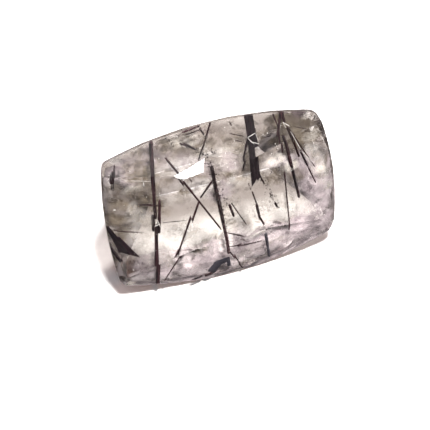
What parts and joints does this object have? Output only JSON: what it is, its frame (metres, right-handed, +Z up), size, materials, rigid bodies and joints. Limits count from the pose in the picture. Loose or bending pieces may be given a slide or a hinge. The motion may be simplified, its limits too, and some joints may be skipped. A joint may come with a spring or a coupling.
{
  "type": "black rutilated quartz gemstone",
  "caption": "Faceted long cushion of clear, faintly smoky quartz with black needles grown through it, lying on one facet of its pointed underside.",
  "frame": {"origin": "middle of the stone's bounding box, on the surface it lies on", "axes": "+X along the stone, +Y from the front edge to the raised back edge, +Z up; the stone lies on its front pavilion facet, so its crown leans 42 degrees to -Y"},
  "size_m": [0.0182, 0.0098, 0.0089],
  "materials": {
    "clear_quartz": "polished",
    "black_needle": "satin",
    "brown_needle": "satin",
    "grey_crystal": "satin"
  },
  "bodies": {
    "root": {"quartz_crown_half": "clear_quartz", "quartz_pavilion_half": "clear_quartz", "long_left_needle_upper": "black_needle", "long_left_needle_lower": "black_needle", "left_end_needle": "black_needle", "thin_back_needle": "black_needle", "diagonal_needle": "black_needle", "cross_needle_upper": "black_needle", "cross_needle_lower": "black_needle", "central_needle": "black_needle", "short_dark_needle": "black_needle", "short_fine_needle": "black_needle", "black_blade": "black_needle", "broken_needle_upper": "black_needle", "right_fan_root": "black_needle", "right_thick_needle": "black_needle", "right_end_needle": "black_needle", "left_black_crystal": "black_needle", "left_dark_stub": "black_needle", "dusty_needle": "black_needle", "back_edge_needle": "black_needle", "brown_fan_needles": "brown_needle", "broken_needle_lower": "grey_crystal", "front_edge_crystal": "grey_crystal", "front_edge_grain": "black_needle", "front_edge_splinter": "black_needle", "crossing_hair_needle": "black_needle", "bright_hair_needle": "black_needle", "left_hair_needle": "black_needle", "small_right_grain": "black_needle"}
  },
  "joints": []
}
